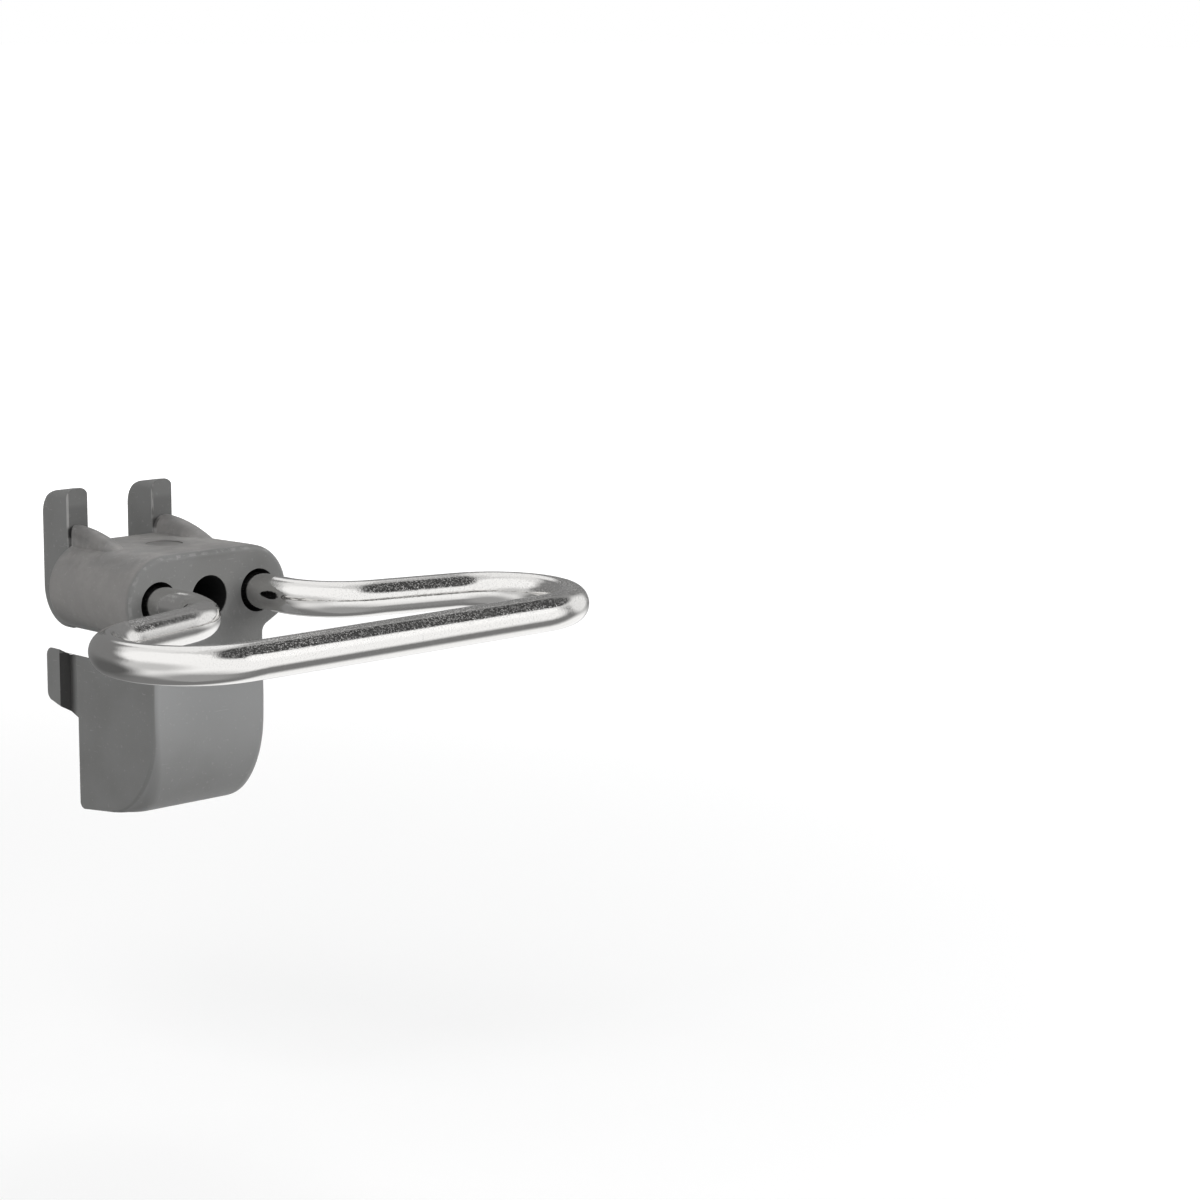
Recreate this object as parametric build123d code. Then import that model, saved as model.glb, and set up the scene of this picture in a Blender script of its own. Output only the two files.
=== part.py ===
from build123d import *
import math
import os

# Utility hook for a slotted wall rail: a moulded holder and one bent wire loop
# Frame: millimetres, +Z up, X across the hook, Y towards the wall
# Origin: on the rear plane of the two upright plates, midway between them,
# level with the axes of the three bores
# The demanding feature is the holder, a one-piece moulding in which block, prongs,
# sprung tongue and snap arms run into each other

# Wire
wire_d = 6.0
wire_end_chamfer = 0.5

# Bores in the front face: a wide mouth, then a seat that grips the wire
bore_pitch = 10.15
mouth_gap = 0.63
seat_gap = 0.06
end_gap = 0.5
mouth_depth = 9.0
seat_depth = 10.0

# Holder, overall
holder_h = 53.8
holder_depth = 31.2
plate_depth = 7.1

# Block
front_half_w = 16.3
front_top_z = 7.7
rear_half_w = 15.1
rear_top_z = 7.4
block_bottom_z = -6.9
diagonal_angle = 28.0
diagonal_foot_x = 10.4
outline_blend = 1.8
front_edge_r = 0.9
rear_edge_r = 0.6

# Upright plates that carry the prongs
plate_t = 4.25
plate_inner_x = 6.6
plate_foot_r = 6.4
prong_top_z = 16.4
prong_top_drop = 1.0
prong_rear_r = 4.2
prong_crown_r = 1.7
prong_edge_r = 0.35

# Ribs that run from the prongs down onto the block
rib_inset = 0.15
rib_start_z = 10.3
rib_end_z = 7.4
rib_reach = 12.4
rib_bulge = 0.65
rib_outer_r = 1.3
rib_inner_r = 2.2
nook_w = 1.2
nook_d = 0.8

# Moulding gate mark on the top
gate_r = 3.1
gate_depth = 0.15

# Neck and tongue
neck_half_w = 11.35
neck_t = 2.6
neck_corner_r = 1.6
side_wall_t = 2.3
floor_t = 2.3
tongue_top_z = -10.5
tongue_blend_z = -17.0
tongue_bend_z = -22.1
toe_back = 8.8
toe_lift = 1.2
tongue_rear_y = -9.6
tongue_heel_r = 1.2
tongue_edge_r = 0.7
toe_edge_r = 3.4

# Snap arms at the top of the tongue
arm_rear_y = -2.8
arm_foot_z = -19.2
arm_slope = 16.0
arm_lean = 28.0
arm_corner_r = 1.5
snap_out = 1.35
snap_step_y = -6.45
recess_depth = 0.85
recess_len = 2.9
recess_cap = 0.8

# Loop, seen from above
leg_out = 7.5
bend_r = 12.0
run_angle = 15.5
turn_x = 30.0
turn_r = 13.1

# How far hidden overlaps and cutters reach, and how closely edges are picked out
lap = 1.0
near = 0.01


def xz(y):
    # sketch plane facing the viewer at depth y, x to the right and z up
    return Plane(origin=(0, y, 0), x_dir=(1, 0, 0), z_dir=(0, -1, 0))


def block_outline(half_w, top_z, neck_to=None):
    # flat top, round ends, straight diagonals down to a flat underside,
    # and, when asked for, the neck running on down to neck_to
    r = top_z
    cx = half_w - r
    slope = math.radians(diagonal_angle)
    nx = math.sin(slope)
    nz = -math.cos(slope)
    reach = (diagonal_foot_x - cx) * nx + block_bottom_z * nz
    a = math.atan2(nz, nx) + math.acos(reach / r)
    ex = cx + r * math.cos(a)
    ez = r * math.sin(a)
    m = (math.pi / 2 + a) / 2
    mx = cx + r * math.cos(m)
    mz = r * math.sin(m)
    foot_x = diagonal_foot_x if neck_to is None else neck_half_w
    foot_z = block_bottom_z + (foot_x - diagonal_foot_x) * math.tan(slope)
    low_z = foot_z if neck_to is None else neck_to
    with BuildSketch() as s:
        with BuildLine():
            Line((-cx, r), (cx, r))
            ThreePointArc((cx, r), (mx, mz), (ex, ez))
            Line((ex, ez), (foot_x, foot_z))
            if neck_to is not None:
                Line((foot_x, foot_z), (foot_x, low_z))
            Line((foot_x, low_z), (-foot_x, low_z))
            if neck_to is not None:
                Line((-foot_x, low_z), (-foot_x, foot_z))
            Line((-foot_x, foot_z), (-ex, ez))
            ThreePointArc((-ex, ez), (-mx, mz), (-cx, r))
        make_face()
        foot_r = outline_blend if neck_to is None else neck_corner_r
        fillet(s.vertices().filter_by(lambda v: abs(v.Y - ez) < near), outline_blend)
        fillet(s.vertices().filter_by(lambda v: abs(v.Y - foot_z) < near), foot_r)
    return s.sketch


# Front wall: block outline and neck in one piece, its front edge rounded
wall = extrude(
    xz(-holder_depth) * block_outline(front_half_w, front_top_z, tongue_top_z), -neck_t
)
rim = wall.edges().filter_by(lambda e: abs(e.center().Y + holder_depth) < near)
rim = rim.filter_by(lambda e: e.center().Z > tongue_top_z + near)
wall = fillet(rim, front_edge_r)

# Block behind the wall: lofted back to a slightly smaller rear outline
front = xz(neck_t - holder_depth) * block_outline(front_half_w, front_top_z)
rear = xz(-plate_depth) * block_outline(rear_half_w, rear_top_z)
block = loft([front, rear], ruled=True)
back = block.edges().filter_by(lambda e: abs(e.center().Y + plate_depth) < near)
block = fillet(back, rear_edge_r)

# Plates: flat rear edges, round feet, and prongs that lean back at the top
with BuildSketch() as s:
    Polygon(
        (-plate_depth, prong_top_z),
        (0, prong_top_z - prong_top_drop),
        (0, block_bottom_z),
        (-plate_depth - lap, block_bottom_z),
        (-plate_depth - lap, rear_top_z / 2),
        (-plate_depth, rear_top_z / 2),
        align=None,
    )
    behind = s.vertices().filter_by(lambda v: v.X > -near)
    fillet(behind.filter_by(lambda v: v.Y < 0), plate_foot_r)
    behind = s.vertices().filter_by(lambda v: v.X > -near)
    fillet(behind.sort_by(Axis.Y)[-1], prong_rear_r)
plate = extrude(Plane.YZ.offset(plate_inner_x) * s.sketch, plate_t)
shaft = plate.edges().filter_by(Axis.Z).filter_by(lambda e: e.center().Z > rear_top_z)
shaft = shaft.filter_by(lambda e: e.center().Y < near - plate_depth)
plate = fillet(shaft, prong_edge_r)
low_z = block_bottom_z - lap
with BuildSketch() as s:
    Polygon(
        (plate_inner_x, low_z),
        (plate_inner_x + plate_t, low_z),
        (plate_inner_x + plate_t, prong_top_z),
        (plate_inner_x, prong_top_z),
        align=None,
    )
    fillet(s.vertices().filter_by(lambda v: v.Y > prong_top_z - near), prong_crown_r)
plate = plate & extrude(xz(lap) * s.sketch, plate_depth + 3 * lap)

# Ribs: an arched back, a crest nearer the outer side, and a nook at each side
# where the rounded rear end meets the prong
rib_end_y = -plate_depth - rib_reach
rib_x = plate_inner_x + rib_inset
rib_w = plate_t - 2 * rib_inset
with BuildSketch() as s:
    with BuildLine():
        SagittaArc((-plate_depth, rib_start_z), (rib_end_y, rib_end_z), -rib_bulge)
        Line((rib_end_y, rib_end_z), (rib_end_y, rear_top_z / 2))
        Line((rib_end_y, rear_top_z / 2), (lap - plate_depth, rear_top_z / 2))
        Line((lap - plate_depth, rear_top_z / 2), (lap - plate_depth, rib_start_z))
        Line((lap - plate_depth, rib_start_z), (-plate_depth, rib_start_z))
    make_face()
rib = extrude(Plane.YZ.offset(rib_x) * s.sketch, rib_w)
crest = rib.edges().filter_by(GeomType.CIRCLE).sort_by(Axis.X)
rib = fillet(crest[-1], rib_outer_r)
crest = rib.edges().filter_by(GeomType.CIRCLE).sort_by(Axis.X)
rib = fillet(crest.filter_by(lambda e: e.center().X < rib_x + near), rib_inner_r)
for x, way in ((rib_x, 1), (rib_x + rib_w, -1)):
    corner = Polygon(
        (x - way * lap, -plate_depth),
        (x + way * nook_w, -plate_depth),
        (x, -plate_depth - nook_d),
        (x - way * lap, -plate_depth - nook_d),
        align=None,
    )
    rib = rib - extrude(Plane.XY.offset(rear_top_z / 2) * corner, prong_top_z)
side = plate + rib

# Neck and tongue: plan sections lofted down a front that swings back to the toe along
# a quarter ellipse, their front corners rounder and rounder, trimmed by the side profile
tongue_bottom_z = prong_top_z - holder_h
bend_y = -holder_depth
sink = tongue_bend_z - tongue_bottom_z - toe_lift


def plan_section(z, y, corner_r):
    # plan of the tongue at height z, front at y, with the two snap arms behind
    w = neck_half_w + snap_out
    with BuildSketch() as s:
        Polygon(
            (-neck_half_w, y),
            (neck_half_w, y),
            (neck_half_w, snap_step_y),
            (w, snap_step_y),
            (w, lap),
            (-w, lap),
            (-w, snap_step_y),
            (-neck_half_w, snap_step_y),
            align=None,
        )
        fillet(s.vertices().filter_by(lambda v: v.Y < y + near), corner_r)
    return Plane.XY.offset(z) * s.sketch


def corner_at(z):
    # front corner radius at height z
    share = (tongue_blend_z - z) / (tongue_blend_z - tongue_bend_z + sink)
    return tongue_edge_r + (toe_edge_r - tongue_edge_r) * share**2


sections = [plan_section(tongue_top_z, bend_y, front_edge_r)]
straight_steps = 3
for k in range(straight_steps):
    z = tongue_blend_z + (tongue_bend_z - tongue_blend_z) * k / straight_steps
    sections.append(plan_section(z, bend_y, corner_at(z)))
swing_steps = 8
for k in range(swing_steps + 1):
    a = math.pi / 2 * k / swing_steps
    z = tongue_bend_z - sink * math.sin(a)
    y = bend_y + toe_back * (1 - math.cos(a))
    sections.append(plan_section(z, y, corner_at(z)))
toe_y = bend_y + toe_back
sole_z = tongue_bottom_z - lap
sections.append(plan_section(sole_z, toe_y, toe_edge_r))
outer = loft(sections[:2], ruled=True) + loft(sections[1:-1]) + loft(sections[-2:], ruled=True)

# Side profile: flat top, upright rear, and a sole that rises to the toe
arm_drop = (arm_rear_y - tongue_rear_y) * math.tan(math.radians(arm_slope))
lean = math.tan(math.radians(arm_lean))
wide = neck_half_w + snap_out
arm_low_z = arm_foot_z - arm_drop - (wide - neck_half_w + side_wall_t) * lean - lap
with BuildSketch() as s:
    Polygon(
        (bend_y - lap, tongue_top_z),
        (arm_rear_y, tongue_top_z),
        (arm_rear_y, arm_low_z),
        (tongue_rear_y, arm_low_z),
        (tongue_rear_y, tongue_bottom_z),
        (tongue_rear_y - tongue_heel_r, tongue_bottom_z),
        (toe_y, tongue_bottom_z + toe_lift),
        (bend_y - lap, tongue_bottom_z + toe_lift),
        align=None,
    )
    heel = s.vertices().filter_by(lambda v: v.Y < tongue_bottom_z + near)
    fillet(heel.filter_by(lambda v: v.X > tongue_rear_y - near), tongue_heel_r * 0.99)
tongue = outer & extrude(Plane.YZ.offset(-wide - lap) * s.sketch, 2 * (wide + lap))

# Snap arms: rounded rear corners, top and underside leaning down towards the middle
with BuildSketch() as s:
    Polygon(
        (bend_y + neck_t, tongue_top_z),
        (arm_rear_y, tongue_top_z),
        (arm_rear_y, arm_foot_z),
        (tongue_rear_y, arm_foot_z - arm_drop),
        (tongue_rear_y, tongue_bottom_z - lap),
        (lap, tongue_bottom_z - lap),
        (lap, tongue_top_z + 3 * lap),
        (bend_y + neck_t, tongue_top_z + 3 * lap),
        align=None,
    )
    fillet(s.vertices().filter_by(lambda v: abs(v.X - arm_rear_y) < near), arm_corner_r)
trim = extrude(Plane.YZ.offset(wide) * s.sketch, wide - lap, dir=(-1, 0, -lean))
tongue = tongue - trim - mirror(trim, Plane.YZ)

# Recess in front of each arm, deepest at the arm and closed at the top
recess = Polygon(
    (wide + lap, snap_step_y),
    (neck_half_w - recess_depth, snap_step_y),
    (neck_half_w, snap_step_y - recess_len),
    (wide + lap, snap_step_y - recess_len),
    align=None,
)
recess_top = tongue_top_z - recess_cap
recess = extrude(Plane.XY.offset(recess_top) * recess, arm_low_z - recess_top - lap)
tongue = tongue - recess - mirror(recess, Plane.YZ)

# Hollow of the tongue, open at the back and at the top
floor_z = tongue_bottom_z + floor_t
toe_floor_z = floor_z + toe_lift
inner_y = bend_y + neck_t
inner_back = toe_back - neck_t
inner_sink = tongue_bend_z - toe_floor_z
with BuildSketch() as s:
    with BuildLine():
        Line((inner_y, tongue_top_z + lap), (inner_y, tongue_bend_z))
        EllipticalCenterArc(
            (inner_y + inner_back, tongue_bend_z),
            inner_back,
            inner_sink,
            start_angle=180,
            arc_size=90,
        )
        Line((toe_y, toe_floor_z), (tongue_rear_y, floor_z))
        Line((tongue_rear_y, floor_z), (lap, floor_z))
        Line((lap, floor_z), (lap, tongue_top_z + lap))
        Line((lap, tongue_top_z + lap), (inner_y, tongue_top_z + lap))
    make_face()
inner_half_w = neck_half_w - side_wall_t
tongue = tongue - extrude(Plane.YZ.offset(-inner_half_w) * s.sketch, 2 * inner_half_w)

body = wall + block + side + mirror(side, Plane.YZ) + tongue

# Gate mark on the top: a shallow round sink
gate_y = -(holder_depth + plate_depth) / 2
gate_z = (front_top_z + rear_top_z) / 2 - gate_depth
body = body - extrude(Plane.XY.offset(gate_z) * Pos(0, gate_y) * Circle(gate_r), gate_depth + lap)

# Three bores
bore_depth = mouth_depth + seat_depth
for x in (-bore_pitch, 0, bore_pitch):
    mouth_disc = Pos(x, 0) * Circle(wire_d / 2 + mouth_gap)
    seat_disc = Pos(x, 0) * Circle(wire_d / 2 + seat_gap)
    mouth = extrude(xz(-holder_depth - lap) * mouth_disc, -mouth_depth - lap)
    seat = extrude(xz(-holder_depth) * seat_disc, -bore_depth)
    body = body - mouth - seat
print("holder", round(body.volume, 1), len(body.solids()), body.is_valid)

# Wire loop: one rod along a plan curve, mirrored about the middle
wire_in = bore_depth - end_gap
run = math.radians(run_angle)
bend_end_x = bore_pitch + bend_r * (1 - math.sin(run))
bend_end_y = leg_out + bend_r * math.cos(run)
run_len = (turn_x + turn_r * math.sin(run) - bend_end_x) / math.cos(run)
turn_start_x = bend_end_x + run_len * math.cos(run)
turn_start_y = bend_end_y + run_len * math.sin(run)
turn_y = turn_start_y + turn_r * math.cos(run)
mid_bend = (math.pi / 2 - run) / 2
mid_turn = run / 2


def at(side, x, out):
    # a point of the loop's plan: x from the middle, out from the front face
    return (side * x, -holder_depth - out, 0)


def half(side):
    # from the end in its bore to the start of the front run
    return [
        Line(at(side, bore_pitch, -wire_in), at(side, bore_pitch, leg_out)),
        ThreePointArc(
            at(side, bore_pitch, leg_out),
            at(
                side,
                bore_pitch + bend_r * (1 - math.cos(mid_bend)),
                leg_out + bend_r * math.sin(mid_bend),
            ),
            at(side, bend_end_x, bend_end_y),
        ),
        Line(at(side, bend_end_x, bend_end_y), at(side, turn_start_x, turn_start_y)),
        ThreePointArc(
            at(side, turn_start_x, turn_start_y),
            at(side, turn_x + turn_r * math.cos(mid_turn), turn_y + turn_r * math.sin(mid_turn)),
            at(side, turn_x, turn_y + turn_r),
        ),
    ]


front_run = Line(at(-1, turn_x, turn_y + turn_r), at(1, turn_x, turn_y + turn_r))
path = Wire(half(1) + [front_run] + half(-1))
start = Plane(origin=at(1, bore_pitch, -wire_in), z_dir=(0, -1, 0))
loop = sweep(start * Circle(wire_d / 2), path=path)
ends = loop.edges().filter_by(lambda e: e.center().Y > wire_in - holder_depth - near)
loop = chamfer(ends, wire_end_chamfer)
print("loop", round(loop.volume, 1), len(loop.solids()), loop.is_valid)

os.makedirs("parts", exist_ok=True)
export_step(body, "parts/holder.step")
export_step(loop, "parts/wire_loop.step")
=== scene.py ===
import math

import bpy
import numpy as np
from mathutils import Matrix


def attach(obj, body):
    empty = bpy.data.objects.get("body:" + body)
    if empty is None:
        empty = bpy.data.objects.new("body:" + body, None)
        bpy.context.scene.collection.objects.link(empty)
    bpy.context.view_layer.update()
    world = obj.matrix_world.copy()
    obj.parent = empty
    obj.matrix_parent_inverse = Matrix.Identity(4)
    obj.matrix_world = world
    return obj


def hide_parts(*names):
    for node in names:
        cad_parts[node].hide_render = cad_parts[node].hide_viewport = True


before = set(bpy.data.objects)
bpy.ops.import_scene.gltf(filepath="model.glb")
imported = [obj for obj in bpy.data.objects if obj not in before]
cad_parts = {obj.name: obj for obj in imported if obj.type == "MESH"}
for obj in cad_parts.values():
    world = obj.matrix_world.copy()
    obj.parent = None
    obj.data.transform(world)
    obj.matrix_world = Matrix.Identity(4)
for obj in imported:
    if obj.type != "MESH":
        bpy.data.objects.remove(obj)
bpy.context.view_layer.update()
print("frame loaded:", sorted(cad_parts))

# Shader node helpers: each adds its nodes to a tree and returns the socket that holds the result

def feed(tree, value, socket):
    # a plain number or vector is set on the socket, anything else is linked to it
    if isinstance(value, (int, float, tuple)):
        socket.default_value = value
    else:
        tree.links.new(value, socket)


def mathNode(tree, operation, a, b=None, c=None, clamp=False):
    node = tree.nodes.new("ShaderNodeMath")
    node.operation = operation
    node.use_clamp = clamp
    for socket, value in zip(node.inputs, (a, b, c)):
        if value is not None:
            feed(tree, value, socket)
    return node.outputs[0]


def rampNode(tree, value, low, high):
    # 0 at low, 1 at high, smooth in between; low may be the larger of the two
    node = tree.nodes.new("ShaderNodeMapRange")
    node.interpolation_type = "SMOOTHSTEP"
    for label, given in (("Value", value), ("From Min", low), ("From Max", high)):
        feed(tree, given, node.inputs[label])
    return node.outputs["Result"]


def bandNode(tree, value, low, high, soft):
    # 1 between low and high, falling to 0 over soft on both sides
    rise = rampNode(tree, value, low - soft, low)
    fall = rampNode(tree, value, high + soft, high)
    return mathNode(tree, "MULTIPLY", rise, fall)


def noiseNode(tree, vector, scale, detail, roughness=0.5):
    node = tree.nodes.new("ShaderNodeTexNoise")
    node.inputs["Detail"].default_value = detail
    node.inputs["Roughness"].default_value = roughness
    feed(tree, vector, node.inputs["Vector"])
    feed(tree, scale, node.inputs["Scale"])
    return node.outputs["Fac"]


def patternNode(tree, vector, scale, detail, roughness, low, high):
    # noise cut to patches: 0 where it is under low, 1 where it is over high
    return rampNode(tree, noiseNode(tree, vector, scale, detail, roughness), low, high)


def allOf(tree, *masks):
    # product of masks; a plain number scales it
    product = masks[0]
    for mask in masks[1:]:
        product = mathNode(tree, "MULTIPLY", product, mask)
    return product


def radiusNode(tree, a, b, centreA, centreB):
    # distance from a centre in the plane of two coordinates
    squares = []
    for value, centre in ((a, centreA), (b, centreB)):
        off = mathNode(tree, "ABSOLUTE", mathNode(tree, "SUBTRACT", value, centre))
        squares.append(mathNode(tree, "POWER", off, 2.0))
    return mathNode(tree, "SQRT", mathNode(tree, "ADD", *squares))


def stretched(tree, vector, factors):
    node = tree.nodes.new("ShaderNodeVectorMath")
    node.operation = "MULTIPLY"
    feed(tree, vector, node.inputs[0])
    feed(tree, factors, node.inputs[1])
    return node.outputs[0]


def splitNode(tree, vector):
    # x, y and z of a vector
    node = tree.nodes.new("ShaderNodeSeparateXYZ")
    feed(tree, vector, node.inputs[0])
    return tuple(node.outputs)


def mixColour(tree, factor, a, b):
    node = tree.nodes.new("ShaderNodeMix")
    node.data_type = "RGBA"
    colourSockets = (node.inputs[6], node.inputs[7])
    feed(tree, factor, node.inputs[0])
    for socket, value in zip(colourSockets, (a, b)):
        feed(tree, (*value, 1) if isinstance(value, tuple) else value, socket)
    return node.outputs[2]


def addBump(tree, shader, height, metres, strength):
    bump = tree.nodes.new("ShaderNodeBump")
    bump.inputs["Distance"].default_value = metres
    bump.inputs["Strength"].default_value = strength
    feed(tree, height, bump.inputs["Height"])
    feed(tree, bump.outputs["Normal"], shader.inputs["Normal"])


def newGroup(name, inputs, outputs):
    # inputs are (name, kind, default) rows, outputs are the names of number sockets
    group = bpy.data.node_groups.new(name, "ShaderNodeTree")
    for label, kind, default in inputs:
        socket = group.interface.new_socket(label, in_out="INPUT", socket_type=kind)
        if default is not None:
            socket.default_value = default
    for label in outputs:
        group.interface.new_socket(label, in_out="OUTPUT", socket_type="NodeSocketFloat")
    groupIn = group.nodes.new("NodeGroupInput")
    groupOut = group.nodes.new("NodeGroupOutput")
    return group, groupIn.outputs, groupOut.inputs


def useGroup(tree, group, given):
    # places a group and feeds its inputs by name
    node = tree.nodes.new("ShaderNodeGroup")
    node.node_tree = group
    for label, value in given.items():
        feed(tree, value, node.inputs[label])
    return node


def speckGroup():
    # fine grain and sparse specks, both as values from 0 to 1
    speckLevels = (0.66, 0.74)
    group, given, result = newGroup(
        "speck",
        [
            ("Vector", "NodeSocketVector", None),
            ("Grain Scale", "NodeSocketFloat", 3500.0),
            ("Speck Scale", "NodeSocketFloat", 1500.0),
        ],
        ["Grain", "Speck"],
    )
    speckNoise = noiseNode(group, given["Vector"], given["Speck Scale"], 1)
    feed(group, noiseNode(group, given["Vector"], given["Grain Scale"], 3), result["Grain"])
    feed(group, rampNode(group, speckNoise, *speckLevels), result["Speck"])
    return group


grainGroup = speckGroup()


def newMaterial(name):
    material = bpy.data.materials.new(name)
    material.use_nodes = True
    tree = material.node_tree
    shader = tree.nodes["Principled BSDF"]
    coords = tree.nodes.new("ShaderNodeTexCoord")
    return material, tree, shader, coords


def addObject(name, data):
    thing = bpy.data.objects.new(name, data)
    bpy.context.scene.collection.objects.link(thing)
    return thing


# Holder: matte grey moulding, warmer and scuffed on top, with painted shade that makes its bores
# black, and painted shade and light on some corners, hollows and edges
holderLook = {
    "colour": (0.200, 0.201, 0.198),
    "cloudy": (0.180, 0.180, 0.176),
    "warm": (0.222, 0.216, 0.211),
    # scuffed wear, also used as painted light on the rounded ends of the block
    "scuffedAndLit": (0.266, 0.258, 0.251),
    "mottled": (0.176, 0.170, 0.165),
    # the front's own paler bluish tone, together with painted light
    "paleLitFront": (0.288, 0.291, 0.292),
    # rubbed wear, also used for painted light: the prong edges, low in the nooks, and the streak
    # behind the gate
    "rubbedAndLit": (0.38, 0.375, 0.37),
    "shade": (0.012, 0.012, 0.011),
    # painted shade: near black for the inside of the bores
    "boreShadeBlack": (0.004, 0.004, 0.004),
    "roughness": 0.5,
    "hollowRoughness": 0.5,      # added to it in the bores and the recesses
    "specular": 0.35,
    "bumpMetres": 0.00002,
    "bumpStrength": 0.6,
    # sizes that the marks follow, in metres as in the frame
    "borePitch": 0.01015,
    "boreRadius": 0.0037,
    "boreEdge": 0.00002,
    "plateMiddle": 0.008725,
    "plateHalf": 0.002125,
    "prongY": -0.0071,
    "stepY": -0.00645,
    "frontY": -0.0312,
    "bendZ": -0.0221,            # where the tongue's front starts to swing back
    "toeSink": 0.0141,
    "toeBack": 0.0088,
    "cornerBack": 0.0026,
    "crisp": 0.0001,             # softness of a crisp border
    "gateCentre": (0.0005, -0.0185),
    "frontFade": (0.85, 0.15),   # share of the pale front that fades away, and that stays
    "dashStretch": (330, 330, 5200),
    "edgeStretch": (1, 1, 0.4),
    # noise scale, detail and roughness, and the levels that it is cut between
    "patterns": {
        "cloud": (110, 3, 0.5, 0.35, 0.7),
        "scuff": (230, 4, 0.6, 0.36, 0.64),
        "mottle": (420, 4, 0.65, 0.44, 0.62),
        "dashes": (1, 1, 0.5, 0.70, 0.76),
        "dashPatch": (170, 2, 0.5, 0.5, 0.62),
        "rimBreak": (700, 3, 0.5, 0.48, 0.62),
        "edgeBreak": (900, 2, 0.5, 0.3, 0.5),
        "streakHighlightBreak": (1300, 3, 0.5, 0.25, 0.75),
    },
    # where each mark lies: a pair is a ramp from none to full, three are a band and its softness
    "places": {
        "blockFoot": (-0.0075, -0.0045),
        "blockDepth": (-0.0303, -0.0076, 0.0004),
        "topRise": (0.0058, 0.0072),
        "topFall": (0.0118, 0.0104),
        "topMiddle": (0.0075, 0.0035),
        "litRoundEnd": (0.0128, 0.0156),
        "frontLine": (0.00050, 0.00025),
        "frontTop": (-0.0095, -0.0125),
        "frontLength": (-0.0345, -0.0115),
        "cornerShadeLine": (0.0005, 0.0010, 0.0004),
        "cornerShadeTop": (-0.024, -0.031),
        "rimLine": (-0.03112, -0.03085, 0.00005),
        "rimShadeBand": (-0.0312, -0.0304, 0.0004),
        "rimTop": (-0.008, -0.004),
        "prongFootShade": (0.0140, 0.0128),
        "leftEdge": (-0.0109, -0.01062, 0.0001),
        "rightEdge": (0.00655, 0.00683, 0.0001),
        "edgeFoot": (0.0094, 0.0104),
        "ribWidth": (0.0040, 0.0030),
        "ribDepth": (-0.0212, -0.0072, 0.0003),
        "ribHeight": (0.0075, 0.0090),
        "nookMiddle": (0.0006, 0.0014),
        "nookDepth": (-0.0078, -0.0071, 0.0002),
        "nookHeight": (0.0086, 0.0094, 0.0008),
        "nookFootDepth": (-0.0080, -0.0070, 0.0002),
        "nookFootHeight": (0.0036, 0.0080, 0.0004),
        "gateReach": (0.0046, 0.0016),
        "streakHighlightWidth": (0.0011, 0.0019, 0.0012),
        "streakHighlightDepth": (-0.0125, -0.0123, 0.0004),
        "recessSide": (0.0096, 0.0100),
        "recessDepth": (-0.0098, -0.0068),
        "recessHeight": (-0.0235, -0.0113, 0.0002),
        "legShadowReach": (0.0075, 0.0038),
        "legShadowFace": (-0.0304, -0.0308),
        "boreDepth": (-0.0309, -0.0122, 0.0002),
    },
    # the colour that each mark leads to, and how far
    "tints": {
        "warmth": ("warm", 0.55),
        "scuff": ("scuffedAndLit", 0.85),
        "mottle": ("mottled", 0.4),
        "litRoundEnd": ("scuffedAndLit", 0.6),
        "topMiddle": ("shade", 0.10),
        "cornerShade": ("shade", 0.12),
        "dashes": ("rubbedAndLit", 0.4),
        "specks": ("rubbedAndLit", 0.2),
        "rimShadeBand": ("shade", 0.10),
        "rimLine": ("rubbedAndLit", 0.25),
        "prongFront": ("shade", 0.22),
        "prongFootShade": ("shade", 0.22),
        "prongEdgeHighlight": ("rubbedAndLit", 0.8),
        "rib": ("shade", 0.22),
        "nookFoot": ("rubbedAndLit", 0.4),
        "nook": ("shade", 0.6),
        "gate": ("shade", 0.36),
        "streakHighlight": ("rubbedAndLit", 0.75),
        "recess": ("shade", 0.66),
        "legShadow": ("shade", 0.2),
    },
}
place = holderLook["places"]


def tint(tree, colour, mark, *masks):
    # the colour led towards that of a mark where all its masks hold
    target, amount = holderLook["tints"][mark]
    return mixColour(tree, allOf(tree, *masks, amount), colour, holderLook[target])


def pattern(tree, vector, name):
    return patternNode(tree, vector, *holderLook["patterns"][name])


def topMask(tree, z):
    # upper surface of the block, by height
    return allOf(tree, rampNode(tree, z, *place["topRise"]), rampNode(tree, z, *place["topFall"]))


def blockMarks(tree, spot, colour):
    # warmer than the tongue, with broad pale scuffs and mottling, painted light on the rounded
    # ends, and a darker middle on top
    foot = rampNode(tree, spot["z"], *place["blockFoot"])
    block = allOf(tree, foot, bandNode(tree, spot["y"], *place["blockDepth"]))
    colour = tint(tree, colour, "warmth", block)
    colour = tint(tree, colour, "scuff", block, pattern(tree, spot["vector"], "scuff"))
    colour = tint(tree, colour, "mottle", block, pattern(tree, spot["vector"], "mottle"))
    # painted light: the rounded ends of the block lighter, as light falls on them from above left
    litRoundEnd = rampNode(tree, spot["side"], *place["litRoundEnd"])
    colour = tint(tree, colour, "litRoundEnd", block, litRoundEnd)
    middle = rampNode(tree, spot["side"], *place["topMiddle"])
    return tint(tree, colour, "topMiddle", topMask(tree, spot["z"]), middle)


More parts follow.
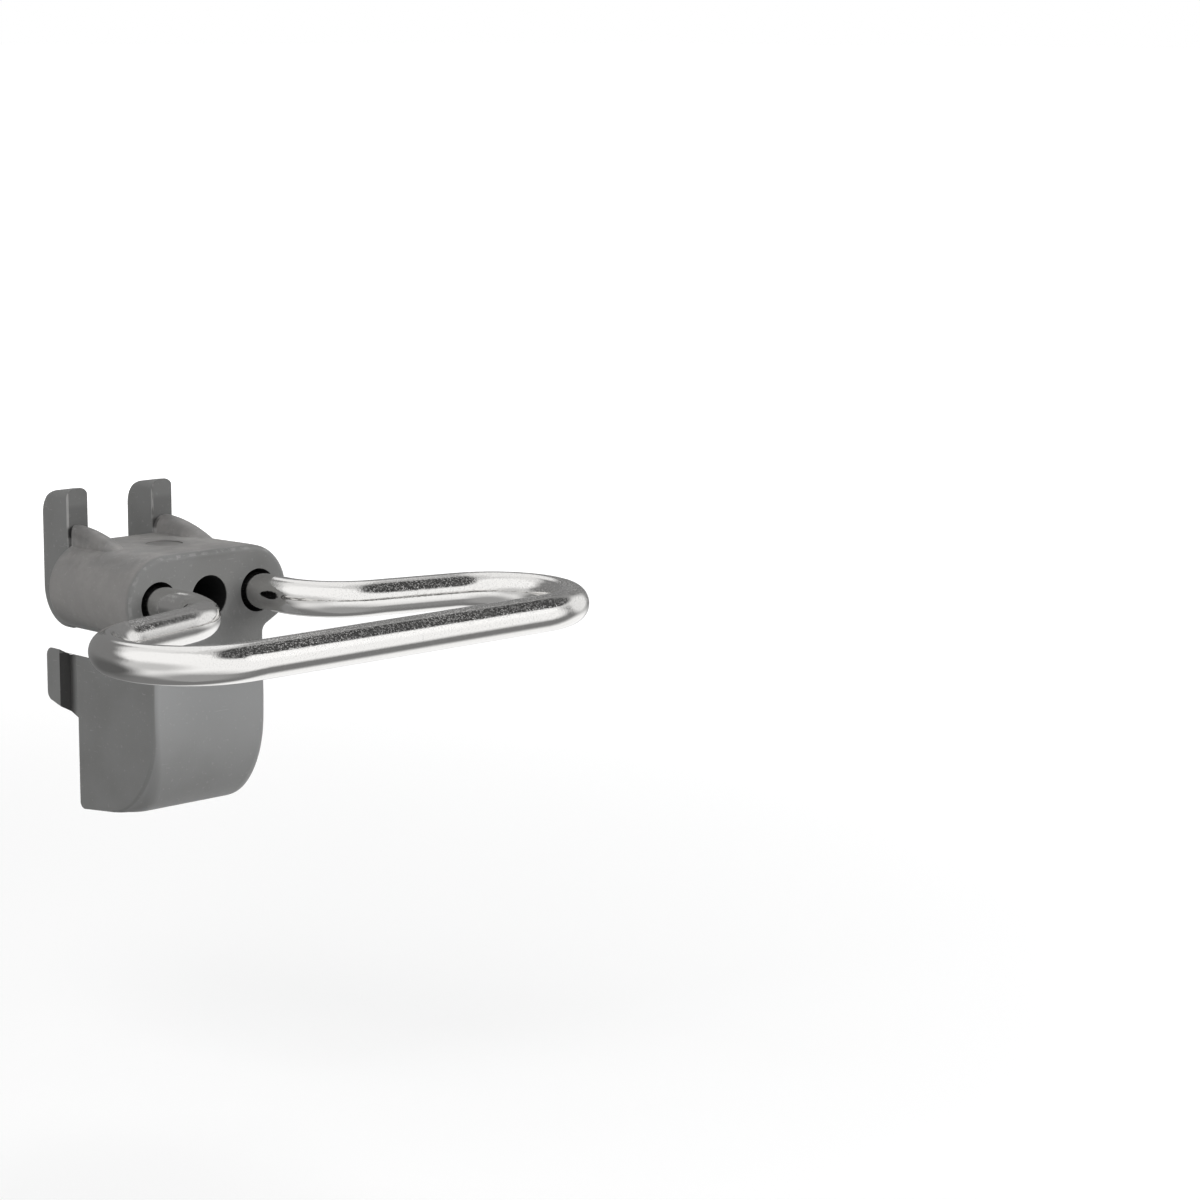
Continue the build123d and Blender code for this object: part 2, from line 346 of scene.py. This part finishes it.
def behindToe(tree, y, z):
    # distance behind the tongue's front: below the bend the front swings back along a quarter
    # ellipse, toeBack * (1 - sqrt(1 - drop^2)), and its corners run back by cornerBack * drop^2
    look = holderLook
    sink = look["toeSink"]
    drop = mathNode(tree, "MULTIPLY_ADD", z, -1 / sink, look["bendZ"] / sink, clamp=True)
    squared = mathNode(tree, "POWER", drop, 2.0)
    level = mathNode(tree, "SQRT", mathNode(tree, "SUBTRACT", 1.0, squared))
    swing = mathNode(tree, "MULTIPLY", mathNode(tree, "SUBTRACT", 1.0, level), look["toeBack"])
    corner = mathNode(tree, "MULTIPLY", squared, look["cornerBack"])
    back = mathNode(tree, "SUBTRACT", y, look["frontY"])
    return mathNode(tree, "SUBTRACT", back, mathNode(tree, "ADD", swing, corner))


def tongueMarks(tree, spot, colour):
    # the front is paler towards the neck, partly its own tone and partly painted light, up to a
    # line behind its corners, with a narrow band of painted shade behind that line
    behind = behindToe(tree, spot["y"], spot["z"])
    line = rampNode(tree, behind, *place["frontLine"])
    front = allOf(tree, line, rampNode(tree, spot["z"], *place["frontTop"]))
    length = rampNode(tree, spot["z"], *place["frontLength"])
    fade = mathNode(tree, "MULTIPLY_ADD", length, *holderLook["frontFade"])
    # painted light: the front lighter than the sides, fading towards the toe, over its own bluish
    # tone
    pale = mathNode(tree, "MULTIPLY", front, fade)
    colour = mixColour(tree, pale, colour, holderLook["paleLitFront"])
    # painted shade: a narrow dark band just behind the front's edge, down the rounded corners
    cornerShade = bandNode(tree, behind, *place["cornerShadeLine"])
    return tint(tree, colour, "cornerShade", cornerShade, rampNode(tree, spot["z"], *place["cornerShadeTop"]))


def wearAndRimShade(tree, spot, specks, colour):
    # thin level scratches, light specks, painted shade on the rounded rim of the front face, and a
    # broken worn line round that rim
    dashes = pattern(tree, stretched(tree, spot["vector"], holderLook["dashStretch"]), "dashes")
    colour = tint(tree, colour, "dashes", dashes, pattern(tree, spot["vector"], "dashPatch"))
    colour = tint(tree, colour, "specks", specks)
    upper = rampNode(tree, spot["z"], *place["rimTop"])
    # painted shade on the rounded rim along the top of the front face
    colour = tint(tree, colour, "rimShadeBand", bandNode(tree, spot["y"], *place["rimShadeBand"]), upper)
    line = bandNode(tree, spot["y"], *place["rimLine"])
    broken = pattern(tree, spot["vector"], "rimBreak")
    return tint(tree, colour, "rimLine", line, broken, upper)


def edgeHighlight(tree, spot):
    # painted highlight: a broken bright line down the left front edge of each prong, where its
    # rounded edge catches the light
    prongY, crisp = holderLook["prongY"], holderLook["crisp"]
    left = bandNode(tree, spot["x"], *place["leftEdge"])
    right = bandNode(tree, spot["x"], *place["rightEdge"])
    return allOf(
        tree,
        mathNode(tree, "MAXIMUM", left, right),
        bandNode(tree, spot["y"], prongY, prongY + 2.5 * crisp, crisp),
        rampNode(tree, spot["z"], *place["edgeFoot"]),
        pattern(tree, stretched(tree, spot["vector"], holderLook["edgeStretch"]), "edgeBreak"),
    )


def prongMarks(tree, spot, colour):
    # prong fronts darker, with painted shade towards the foot over the rib and a painted highlight
    # down one edge; dark ribs before them; painted shade in the nooks where they meet, and painted
    # light low in them
    look = holderLook
    prongY, crisp = look["prongY"], look["crisp"]
    off = mathNode(tree, "ABSOLUTE", mathNode(tree, "SUBTRACT", spot["side"], look["plateMiddle"]))
    within = rampNode(tree, off, look["plateHalf"] + crisp, look["plateHalf"])
    face = bandNode(tree, spot["y"], prongY - crisp, prongY + crisp, crisp / 2)
    front = allOf(tree, within, face)
    colour = tint(tree, colour, "prongFront", front)
    # painted shade: the prong fronts darker towards the foot, in the corner over the rib
    foot = rampNode(tree, spot["z"], *place["prongFootShade"])
    colour = tint(tree, colour, "prongFootShade", front, foot)
    # painted highlight down one front edge of each prong
    colour = tint(tree, colour, "prongEdgeHighlight", edgeHighlight(tree, spot))
    rib = allOf(
        tree,
        rampNode(tree, off, *place["ribWidth"]),
        bandNode(tree, spot["y"], *place["ribDepth"]),
        rampNode(tree, spot["z"], *place["ribHeight"]),
    )
    colour = tint(tree, colour, "rib", rib)
    # painted shade in the nooks beside the ribs, and painted light on the slot low in them
    besideRib = allOf(tree, within, rampNode(tree, off, *place["nookMiddle"]))
    for mark in ("nookFoot", "nook"):
        depth = bandNode(tree, spot["y"], *place[mark + "Depth"])
        height = bandNode(tree, spot["z"], *place[mark + "Height"])
        colour = tint(tree, colour, mark, besideRib, depth, height)
    return colour


def gateMarks(tree, spot, colour):
    # gate mark: a darker dish with a thin soft painted highlight behind it
    top = topMask(tree, spot["z"])
    radius = radiusNode(tree, spot["x"], spot["y"], *holderLook["gateCentre"])
    colour = tint(tree, colour, "gate", rampNode(tree, radius, *place["gateReach"]), top)
    # painted highlight: a thin bright streak behind the dish
    streakHighlight = allOf(
        tree,
        top,
        bandNode(tree, spot["x"], *place["streakHighlightWidth"]),
        bandNode(tree, spot["y"], *place["streakHighlightDepth"]),
        pattern(tree, spot["vector"], "streakHighlightBreak"),
    )
    return tint(tree, colour, "streakHighlight", streakHighlight)


def recessMask(tree, spot):
    # hollow in front of each snap arm, up to the step, where shade is painted
    step = [holderLook["stepY"] + share * holderLook["crisp"] for share in (0.3, 0.1)]
    return allOf(
        tree,
        rampNode(tree, spot["side"], *place["recessSide"]),
        rampNode(tree, spot["y"], *place["recessDepth"]),
        rampNode(tree, spot["y"], *step),
        bandNode(tree, spot["z"], *place["recessHeight"]),
    )


def legShadowMask(tree, spot):
    # painted shadow of the right leg: faint darkening on the face round the right bore
    radius = radiusNode(tree, spot["x"], spot["z"], holderLook["borePitch"], 0)
    near = rampNode(tree, radius, *place["legShadowReach"])
    return allOf(tree, near, rampNode(tree, spot["y"], *place["legShadowFace"]))


def boreMask(tree, spot):
    # inside of the three bores, by the distance from the nearest one's axis
    look = holderLook
    outer = mathNode(tree, "ABSOLUTE", mathNode(tree, "SUBTRACT", spot["side"], look["borePitch"]))
    nearest = mathNode(tree, "MINIMUM", spot["side"], outer)
    radius = radiusNode(tree, nearest, spot["z"], 0, 0)
    wall = (look["boreRadius"] + look["boreEdge"], look["boreRadius"] - look["boreEdge"])
    depth = bandNode(tree, spot["y"], *place["boreDepth"])
    return allOf(tree, rampNode(tree, radius, *wall), depth)


def mouldedGrey():
    material, tree, shader, coords = newMaterial("mouldedGrey")
    look = holderLook
    vector = coords.outputs["Object"]
    spot = dict(zip("xyz", splitNode(tree, vector)), vector=vector)
    spot["side"] = mathNode(tree, "ABSOLUTE", spot["x"])
    grain = useGroup(tree, grainGroup, {"Vector": vector})
    cloud = pattern(tree, vector, "cloud")
    colour = mixColour(tree, cloud, look["colour"], look["cloudy"])
    colour = blockMarks(tree, spot, colour)
    colour = tongueMarks(tree, spot, colour)
    colour = wearAndRimShade(tree, spot, grain.outputs["Speck"], colour)
    colour = prongMarks(tree, spot, colour)
    colour = gateMarks(tree, spot, colour)
    recess, bore = recessMask(tree, spot), boreMask(tree, spot)
    # painted shade in the hollow in front of each snap arm
    colour = tint(tree, colour, "recess", recess)
    # painted shadow of the right leg on the face round the right bore
    colour = tint(tree, colour, "legShadow", legShadowMask(tree, spot))
    # painted shade: the inside of the bores made near black
    feed(tree, mixColour(tree, bore, colour, look["boreShadeBlack"]), shader.inputs["Base Color"])
    hollow = mathNode(tree, "MAXIMUM", bore, recess)
    rough = mathNode(tree, "MULTIPLY_ADD", hollow, look["hollowRoughness"], look["roughness"])
    feed(tree, rough, shader.inputs["Roughness"])
    shader.inputs["Specular IOR Level"].default_value = look["specular"]
    addBump(tree, shader, grain.outputs["Grain"], look["bumpMetres"], look["bumpStrength"])
    return material


def dressNode(name, material):
    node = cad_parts[name]
    for slot in node.material_slots:
        slot.material = material
    if not node.material_slots:
        node.data.materials.append(material)


dressNode("holder", mouldedGrey())
print("holder dressed")

# Wire: one plated rod, bent flat, that stands for the CAD loop
wire = {
    "radius": 0.003,
    "legX": 0.01015,             # half the spacing of the two legs
    "endY": -0.0127,             # ends seated inside their bores
    "legOut": 0.00743,           # straight in front of the holder's face
    "faceY": -0.0312,
    "bendRadius": 0.012,
    "runAngle": 15.5,            # degrees that the runs stand off the width
    "turnX": 0.030,
    "turnRadius": 0.0131,
    "ease": 0.0022,              # length over which each bend tightens
    "flatten": 0.02,             # share of thickness lost inside the bends
    "chamfer": 0.0005,
    "fine": 0.00002,             # step of the running sums along the rod
    "spacing": 0.00035,
    "around": 72,
    "colour": (0.80, 0.79, 0.775),
    "worn": (0.70, 0.69, 0.68),
    "wornShare": 0.6,
    "roughness": 0.045,
    "specks": 0.3,               # how much rougher the dull specks are
    "film": 0.32,                # share of metal that a dull speck hides
    "grainScale": 2600.0,
    "bumpMetres": 0.000015,
    "bumpStrength": 1.0,
    "speckPattern": (3400, 3, 0.75, 0.50, 0.60),
    "patchPattern": (190, 3, 0.5, 0.40, 0.60),
    "patchStretch": (0.45, 0.8, 1.6),
    "gathered": (0.25, 0.75),    # share of specks that needs a patch, and that doesn't
    "swell": (0.9, 0.35),        # waviness added in patches on top, and everywhere
    "upper": (-0.0012, 0.0012),  # heights between which the rod's top takes over
    "below": 0.2,                # share of specks on the underside
    "runsY": (-0.044, -0.056),
    "runsX": (-0.042, -0.030),
    "offRuns": 0.08,             # share of specks off the front run
    "nickX": 0.0013,             # a short nick across the front run
    "nickHalf": 0.0001,
    "nickSoft": 0.00008,
    "nickY": (-0.0815, -0.0822),
    "nickZ": (-0.0002, 0.0005, 0.0002),
}


def wireLine():
    # heading along the rod: bends are spans of constant curvature eased at their ends by a
    # running mean; the line is the running sum of that heading, from mid front run to the end
    run = math.radians(wire["runAngle"])
    bendEndX = wire["legX"] + wire["bendRadius"] * (1 - math.sin(run))
    runLength = (wire["turnX"] + wire["turnRadius"] * math.sin(run) - bendEndX) / math.cos(run)
    legLength = wire["legOut"] + wire["endY"] - wire["faceY"]
    spans = [
        (wire["turnX"], 0.0),
        (wire["turnRadius"] * (math.pi - run), 1 / wire["turnRadius"]),
        (runLength, 0.0),
        (wire["bendRadius"] * (math.pi / 2 - run), -1 / wire["bendRadius"]),
        (legLength, 0.0),
    ]
    fine = wire["fine"]
    ends = np.cumsum([length for length, bend in spans])
    s = np.arange(0, ends[-1], fine)
    span = np.searchsorted(ends, s, side="right")
    curvature = np.array([bend for length, bend in spans])[span]
    width = int(wire["ease"] / fine)
    padded = np.pad(curvature, width, mode="edge")
    curvature = np.convolve(padded, np.ones(width) / width, "same")[width:-width]
    heading = np.cumsum(curvature) * fine
    x = np.cumsum(np.cos(heading)) * fine
    y = np.cumsum(np.sin(heading)) * fine
    x += (wire["legX"] - x[-1]) * np.clip(s / wire["turnX"], 0, 1)
    y += wire["endY"] - y[-1]
    step = int(wire["spacing"] / fine)
    pick = np.r_[np.arange(0, len(s) - step // 2, step), len(s) - 1]
    return x[pick], y[pick], curvature[pick]


def wireRings():
    # a circle carried along the plan line and its mirror image, slightly flat in the bends; at
    # each end one ring is drawn back, one has a smaller radius for the chamfer, and one is a pole
    x, y, curvature = wireLine()
    x, y = np.r_[-x[:0:-1], x], np.r_[y[:0:-1], y]
    curvature = np.abs(np.r_[curvature[:0:-1], curvature])
    tangentX, tangentY = np.gradient(x), np.gradient(y)
    length = np.hypot(tangentX, tangentY)
    tangentX, tangentY = tangentX / length, tangentY / length
    bent = np.clip(curvature * wire["bendRadius"], 0, 1)
    rows = len(x)
    order = np.r_[0, 0, np.arange(rows), rows - 1, rows - 1]
    shrink = np.ones(rows + 4)
    shrink[[0, -1]] = 0
    shrink[[1, -2]] = 1 - wire["chamfer"] / wire["radius"]
    inset = np.zeros(rows + 4)
    inset[[2, -3]] = [wire["chamfer"], -wire["chamfer"]]
    angle = np.linspace(0, 2 * math.pi, wire["around"], endpoint=False)
    flat = wire["radius"] * (1 - wire["flatten"] * bent[order])
    side = np.outer(flat * shrink, np.cos(angle))
    height = np.outer(wire["radius"] * shrink, np.sin(angle))
    centreX = (x[order] + tangentX[order] * inset)[:, None]
    centreY = (y[order] + tangentY[order] * inset)[:, None]
    acrossX, acrossY = tangentY[order][:, None], -tangentX[order][:, None]
    return np.stack([centreX + acrossX * side, centreY + acrossY * side, height], axis=-1)


def wireMesh():
    # quads between neighbouring rings and a fan of triangles from each pole
    points = wireRings()
    grid = np.arange(points.shape[0] * points.shape[1]).reshape(points.shape[:2])
    nextColumn = np.roll(grid, -1, axis=1)
    ring, nextRing = slice(1, -2), slice(2, -1)
    corners = [grid[ring], grid[nextRing], nextColumn[nextRing], nextColumn[ring]]
    quads = np.stack(corners, axis=-1).reshape(-1, 4)
    poles = [grid[0, 0], grid[-1, 0]]
    firstPole, lastPole = (np.full(wire["around"], pole) for pole in poles)
    firstCap = np.stack([firstPole, grid[1], nextColumn[1]], axis=-1)
    lastCap = np.stack([lastPole, nextColumn[-2], grid[-2]], axis=-1)
    used = np.zeros(grid.size, bool)
    used[grid[1:-1]] = True
    used[poles] = True
    renumber = np.cumsum(used) - 1
    faces = [face for part in (quads, firstCap, lastCap) for face in renumber[part].tolist()]
    mesh = bpy.data.meshes.new("wireLoop")
    mesh.from_pydata(points.reshape(-1, 3)[used].tolist(), [], faces)
    mesh.polygons.foreach_set("use_smooth", np.ones(len(faces), bool))
    mesh.update()
    return mesh


def nickMask(tree, x, y, z):
    # short nick across the front run
    left, right = wire["nickX"] - wire["nickHalf"], wire["nickX"] + wire["nickHalf"]
    return allOf(
        tree,
        bandNode(tree, x, left, right, wire["nickSoft"]),
        rampNode(tree, y, *wire["nickY"]),
        bandNode(tree, z, *wire["nickZ"]),
    )


def brightPlate():
    # plated wire: slightly wavy, with dull specks that gather in patches, and one nick
    material, tree, shader, coords = newMaterial("brightPlate")
    vector = coords.outputs["Object"]
    x, y, z = splitNode(tree, vector)
    grain = useGroup(tree, grainGroup, {"Vector": vector, "Grain Scale": wire["grainScale"]})
    speck = patternNode(tree, vector, *wire["speckPattern"])
    patchVector = stretched(tree, vector, wire["patchStretch"])
    patches = patternNode(tree, patchVector, *wire["patchPattern"])
    upper = rampNode(tree, z, *wire["upper"])
    runs = allOf(tree, rampNode(tree, y, *wire["runsY"]), rampNode(tree, x, *wire["runsX"]))
    dull = allOf(
        tree,
        speck,
        mathNode(tree, "MULTIPLY_ADD", patches, *wire["gathered"]),
        mathNode(tree, "MAXIMUM", upper, wire["below"]),
        mathNode(tree, "MAXIMUM", runs, wire["offRuns"]),
    )
    dull = mathNode(tree, "MAXIMUM", dull, nickMask(tree, x, y, z))
    wornMask = mathNode(tree, "MULTIPLY", dull, wire["wornShare"])
    colour = mixColour(tree, wornMask, wire["colour"], wire["worn"])
    metal = mathNode(tree, "MULTIPLY_ADD", dull, -wire["film"], 1.0)
    rough = mathNode(tree, "MULTIPLY_ADD", dull, wire["specks"], wire["roughness"])
    feed(tree, colour, shader.inputs["Base Color"])
    feed(tree, metal, shader.inputs["Metallic"])
    feed(tree, rough, shader.inputs["Roughness"])
    swell = mathNode(tree, "MULTIPLY_ADD", allOf(tree, patches, upper), *wire["swell"])
    height = mathNode(tree, "MULTIPLY", grain.outputs["Grain"], swell)
    addBump(tree, shader, height, wire["bumpMetres"], wire["bumpStrength"])
    return material


def placePiece(name, mesh, material):
    piece = addObject(name, mesh)
    mesh.materials.append(material)
    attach(piece, "root")
    return piece


wireLoop = placePiece("wireLoop", wireMesh(), brightPlate())
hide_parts("wire_loop")
print("wire bent:", len(wireLoop.data.polygons), "faces")

# Studio: pale floor, soft panels, and a surround whose soft shapes the metal mirrors
studio = {
    "floorZ": -0.085,
    "floorSize": 40.0,
    "floorColour": (0.62, 0.62, 0.62),
    "floorRoughness": 0.9,
    "floorLift": 0.34,           # what the camera sees on top of the lit floor
    "floorFar": (0.15, 1.0),     # distances over which the lift grows to full white
    "background": 1.0,           # white to the camera, and to the metal where no shape covers it
    "surround": 0.2,             # level that lights the object from all round
    "aim": (0.0, -0.045, 0.0),
    # azimuth and elevation seen from the hook, distance, width, height, radiance
    "panels": {
        "softLeft": (-75, 42, 1.3, 1.5, 1.2, 2.1),
        "softFront": (38, 20, 1.3, 0.9, 0.8, 6.6),
        "softBack": (135, 40, 1.3, 1.0, 0.8, 2.4),
    },
    # centre azimuth and elevation, half width, half height (degrees), softness, level; each is
    # painted over the white background and over the shapes before it, and they cover most of it
    "mirrorShapes": {
        "darkBehind": (168, 10, 80, 48, 0.2, 0.22),
        "darkBelow": (100, -76, 190, 50, 0.2, 0.22),
        "darkRight": (66, -34, 44, 54, 0.2, 0.22),
        "ceiling": (-15, 82, 190, 26, 0.3, 0.75),
        "backUpper": (-168, 62, 34, 20, 0.35, 0.92),
        "wallLeft": (-74, 50, 80, 34, 0.2, 1.12),
        "frontLow": (-5, -1, 62, 44, 0.14, 1.10),
        "lowerFront": (-35, -74, 70, 42, 0.5, 0.38),
        "leftLow": (-84, 0, 36, 20, 0.6, 0.66),
        "lowerRight": (112, -38, 36, 24, 0.35, 1.10),
        "rightSide": (88, 8, 22, 22, 0.35, 0.92),
        "leftDark": (-150, -25, 44, 22, 0.5, 0.12),
        "backHigh": (148, 58, 21, 32, 0.15, 1.0),
        "darkAbove": (56, 52, 62, 26, 0.18, 0.06),
        "lampFront": (36, 22, 15, 15, 0.25, 1.22),
    },
}
shapeInputs = (
    "Centre Azimuth", "Centre Elevation", "Half Width", "Half Height", "Softness", "Level",
)


def direction(azimuth, elevation):
    # azimuth 0 is the front (-Y), 90 the right (+X)
    a, e = math.radians(azimuth), math.radians(elevation)
    return np.array([math.sin(a) * math.cos(e), -math.cos(a) * math.cos(e), math.sin(e)])


def paleFloor():
    # diffuse floor, lifted for the camera more as the lamps fall off, so it stays white and
    # keeps the shadow
    material, tree, shader, coords = newMaterial("paleFloor")
    shader.inputs["Base Color"].default_value = (*studio["floorColour"], 1)
    shader.inputs["Roughness"].default_value = studio["floorRoughness"]
    shader.inputs["Specular IOR Level"].default_value = 0.0
    shader.inputs["Emission Color"].default_value = (1, 1, 1, 1)
    path = tree.nodes.new("ShaderNodeLightPath").outputs
    radius = tree.nodes.new("ShaderNodeVectorMath")
    radius.operation = "LENGTH"
    feed(tree, coords.outputs["Object"], radius.inputs[0])
    far = rampNode(tree, radius.outputs["Value"], *studio["floorFar"])
    near = studio["floorLift"]
    lift = mathNode(tree, "MULTIPLY_ADD", far, 1.0 - near, near)
    seen = mathNode(tree, "MAXIMUM", path["Is Camera Ray"], path["Is Transmission Ray"])
    feed(tree, mathNode(tree, "MULTIPLY", seen, lift), shader.inputs["Emission Strength"])
    return material


def floorMesh():
    # one square patch of plane
    half = studio["floorSize"] / 2
    corner = np.array([-half, half])
    x, y = np.meshgrid(corner, corner)
    points = np.stack([x, y, np.full_like(x, studio["floorZ"])], axis=-1).reshape(-1, 3)
    mesh = bpy.data.meshes.new("floor")
    mesh.from_pydata(points.tolist(), [], [(0, 1, 3, 2)])
    return mesh


floor = addObject("floor", floorMesh())
floor.data.materials.append(paleFloor())
floor.visible_glossy = False


def softShapeGroup():
    # one soft ellipse of light on the surround: distance from its centre in half sizes,
    # smoothed over the softness, blends the level that comes in towards its own
    labels = ("Level In", "Azimuth", "Elevation", *shapeInputs)
    inputs = [(label, "NodeSocketFloat", 0.0) for label in labels]
    group, given, result = newGroup("softShape", inputs, ["Level Out"])
    turn = mathNode(group, "SUBTRACT", given["Azimuth"], given["Centre Azimuth"])
    turn = mathNode(group, "WRAP", turn, 180.0, -180.0)
    rise = mathNode(group, "SUBTRACT", given["Elevation"], given["Centre Elevation"])
    across = mathNode(group, "DIVIDE", turn, given["Half Width"])
    upward = mathNode(group, "DIVIDE", rise, given["Half Height"])
    reach = radiusNode(group, across, upward, 0, 0)
    outside = mathNode(group, "ADD", given["Softness"], 1.0)
    inside = mathNode(group, "SUBTRACT", 1.0, given["Softness"])
    blend = rampNode(group, reach, outside, inside)
    gap = mathNode(group, "SUBTRACT", given["Level"], given["Level In"])
    change = mathNode(group, "MULTIPLY", gap, blend)
    feed(group, mathNode(group, "ADD", given["Level In"], change), result["Level Out"])
    return group


def mirroredLevel(tree):
    # what metal sees by direction: the background with the soft shapes painted over it in turn
    coords = tree.nodes.new("ShaderNodeTexCoord")
    x, y, z = splitNode(tree, coords.outputs["Generated"])
    turn = mathNode(tree, "ARCTAN2", x, mathNode(tree, "MULTIPLY", y, -1.0))
    seenFrom = {
        "Azimuth": mathNode(tree, "DEGREES", turn),
        "Elevation": mathNode(tree, "DEGREES", mathNode(tree, "ARCSINE", z)),
    }
    group = softShapeGroup()
    level = studio["background"]
    for name, row in studio["mirrorShapes"].items():
        given = {**seenFrom, **dict(zip(shapeInputs, row)), "Level In": level}
        shape = useGroup(tree, group, given)
        shape.label = name
        level = shape.outputs["Level Out"]
    return level


def surround():
    # white to the camera, even to the object, and the soft shapes to the metal
    world = bpy.data.worlds.new("surround")
    world.use_nodes = True
    tree = world.node_tree
    path = tree.nodes.new("ShaderNodeLightPath").outputs
    even = studio["surround"]
    extra = mathNode(tree, "SUBTRACT", mirroredLevel(tree), even)
    mirrored = mathNode(tree, "MULTIPLY", path["Is Glossy Ray"], extra)
    strength = mathNode(tree, "ADD", mirrored, even)
    toWhite = studio["background"] - even
    seen = mathNode(tree, "MULTIPLY_ADD", path["Is Camera Ray"], toWhite, strength)
    feed(tree, seen, tree.nodes["Background"].inputs["Strength"])
    tree.nodes["Background"].inputs["Color"].default_value = (1, 1, 1, 1)
    return world


bpy.context.scene.world = surround()


def hangPanel(name, azimuth, elevation, distance, width, height, radiance):
    # a rectangle facing the hook; its power gives the radiance asked for, and the metal
    # mirrors the surround's shapes instead of it
    lamp = bpy.data.lights.new(name, "AREA")
    lamp.shape = "RECTANGLE"
    lamp.size, lamp.size_y = width, height
    lamp.energy = radiance * math.pi * width * height
    panel = addObject(name, lamp)
    panel.visible_glossy = False
    panel.visible_camera = False
    back = direction(azimuth, elevation)
    right = np.cross([0, 0, 1], back)
    right /= np.linalg.norm(right)
    pose = np.eye(4)
    pose[:3, 0], pose[:3, 1], pose[:3, 2] = right, np.cross(back, right), back
    pose[:3, 3] = np.array(studio["aim"]) + back * distance
    panel.matrix_world = Matrix(pose.tolist())


for name, row in studio["panels"].items():
    hangPanel(name, *row)
print("studio lit by", len(studio["panels"]), "panels")

# Camera: 100 mm lens, placed and turned to the photograph's viewing angle
view = {
    "place": (-0.329914, -0.463041, 0.093225),
    "right": (0.717794, -0.696247, 0.003337),
    "up": (0.116513, 0.124842, 0.985312),
    "back": (-0.686437, -0.706862, 0.170733),
    "lens": 100,
    "sensor": 36,
    "clip": (0.01, 100),
}
camera = addObject("camera", bpy.data.cameras.new("camera"))
camera.data.lens = view["lens"]
camera.data.sensor_width = view["sensor"]
camera.data.clip_start, camera.data.clip_end = view["clip"]
columns = np.eye(4)
for k, key in enumerate(("right", "up", "back", "place")):
    columns[:3, k] = view[key]
camera.matrix_world = Matrix(columns.tolist())
bpy.context.scene.camera = camera
bpy.context.scene.view_settings.view_transform = "Standard"
print("camera set")
